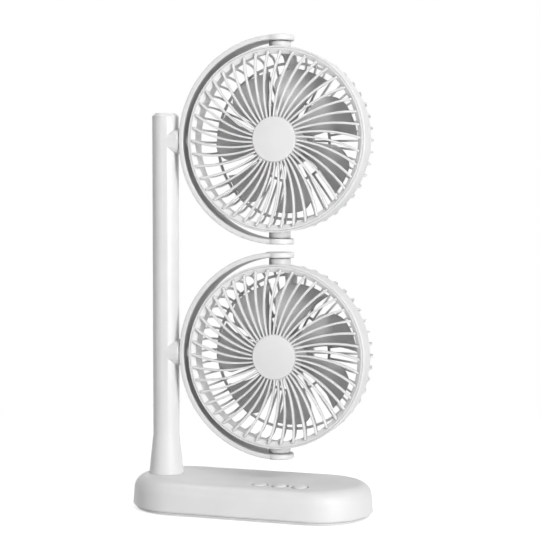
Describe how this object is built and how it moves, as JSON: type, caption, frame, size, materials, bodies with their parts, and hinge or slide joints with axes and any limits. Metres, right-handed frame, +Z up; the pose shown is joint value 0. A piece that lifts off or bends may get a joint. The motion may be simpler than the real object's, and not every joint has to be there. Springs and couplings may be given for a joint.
{
  "type": "dual-head desk fan",
  "caption": "White desk fan with a stadium-shaped base, a side post and a pair of round fan heads, one over the other, each held in a C-shaped yoke that tilts and swivels.",
  "frame": {"origin": "on the floor under the middle of the base", "axes": "+Z up, +X along the base from the post towards the free end, the fan blows towards -Y"},
  "size_m": [0.1908, 0.0838, 0.364],
  "materials": {
    "white_plastic": "satin",
    "white_blades": "satin",
    "button_plastic": "satin",
    "grey_seam": "matt",
    "rubber_foot": "matt",
    "steel": "bright",
    "magnet": "matt",
    "board": "satin",
    "switch_black": "matt",
    "cell_wrap": "gloss",
    "wire_jacket": "matt"
  },
  "bodies": {
    "base": {"base_shell": "white_plastic", "base_plate": "grey_seam", "base_feet": "rubber_foot", "plate_screws": "steel", "control_board": "board", "board_screws": "steel", "key_switches": "switch_black", "battery_cells": "cell_wrap", "battery_cradle": "switch_black", "inlet_socket": "steel", "inlet_board": "board", "post": "white_plastic", "post_cap": "white_plastic", "post_clamp": "steel", "clamp_screws": "steel", "harness": "wire_jacket"},
    "button_1": {"button_1": "button_plastic"},
    "button_2": {"button_2": "button_plastic"},
    "button_3": {"button_3": "button_plastic"},
    "yoke_upper": {"yoke_upper": "white_plastic", "friction_washer_upper": "grey_seam", "tilt_screw_upper": "steel", "spring_washer_upper": "steel", "tilt_nut_upper": "steel"},
    "head_upper": {"rear_cage_upper": "white_plastic", "front_guard_upper": "white_plastic", "guard_cap_upper": "white_plastic", "swivel_pins_upper": "steel", "motor_stator_upper": "steel", "motor_screws_upper": "steel", "rear_cover_upper": "white_plastic"},
    "impeller_upper": {"impeller_upper": "white_blades", "motor_shaft_upper": "steel", "magnet_ring_upper": "magnet"},
    "yoke_lower": {"yoke_lower": "white_plastic", "friction_washer_lower": "grey_seam", "tilt_screw_lower": "steel", "spring_washer_lower": "steel", "tilt_nut_lower": "steel"},
    "head_lower": {"rear_cage_lower": "white_plastic", "front_guard_lower": "white_plastic", "guard_cap_lower": "white_plastic", "swivel_pins_lower": "steel", "motor_stator_lower": "steel", "motor_screws_lower": "steel", "rear_cover_lower": "white_plastic"},
    "impeller_lower": {"impeller_lower": "white_blades", "motor_shaft_lower": "steel", "magnet_ring_lower": "magnet"}
  },
  "joints": [
    {"name": "button_1_press", "type": "slide", "parent": "base", "child": "button_1", "axis": [0, 0, -1], "range_m": [0, 0.0008], "stiffness_N_per_m": 600, "springref_m": -0.0005},
    {"name": "button_2_press", "type": "slide", "parent": "base", "child": "button_2", "axis": [0, 0, -1], "range_m": [0, 0.0008], "stiffness_N_per_m": 600, "springref_m": -0.0005},
    {"name": "button_3_press", "type": "slide", "parent": "base", "child": "button_3", "axis": [0, 0, -1], "range_m": [0, 0.0008], "stiffness_N_per_m": 600, "springref_m": -0.0005},
    {"name": "tilt_upper", "type": "hinge", "parent": "base", "child": "yoke_upper", "pos_m": [0.023, 0, 0.285], "axis": [1, 0, 0], "range_deg": [-90, 90]},
    {"name": "swivel_upper", "type": "hinge", "parent": "yoke_upper", "child": "head_upper", "pos_m": [0.023, 0, 0.285], "axis": [0, 0, 1], "range_deg": [-90, 90]},
    {"name": "spin_upper", "type": "hinge", "parent": "head_upper", "child": "impeller_upper", "pos_m": [0.023, 0, 0.285], "axis": [0, 1, 0], "continuous": true},
    {"name": "tilt_lower", "type": "hinge", "parent": "base", "child": "yoke_lower", "pos_m": [0.023, 0, 0.1211], "axis": [1, 0, 0], "range_deg": [-90, 90]},
    {"name": "swivel_lower", "type": "hinge", "parent": "yoke_lower", "child": "head_lower", "pos_m": [0.023, 0, 0.1211], "axis": [0, 0, 1], "range_deg": [-90, 90]},
    {"name": "spin_lower", "type": "hinge", "parent": "head_lower", "child": "impeller_lower", "pos_m": [0.023, 0, 0.1211], "axis": [0, 1, 0], "continuous": true}
  ]
}
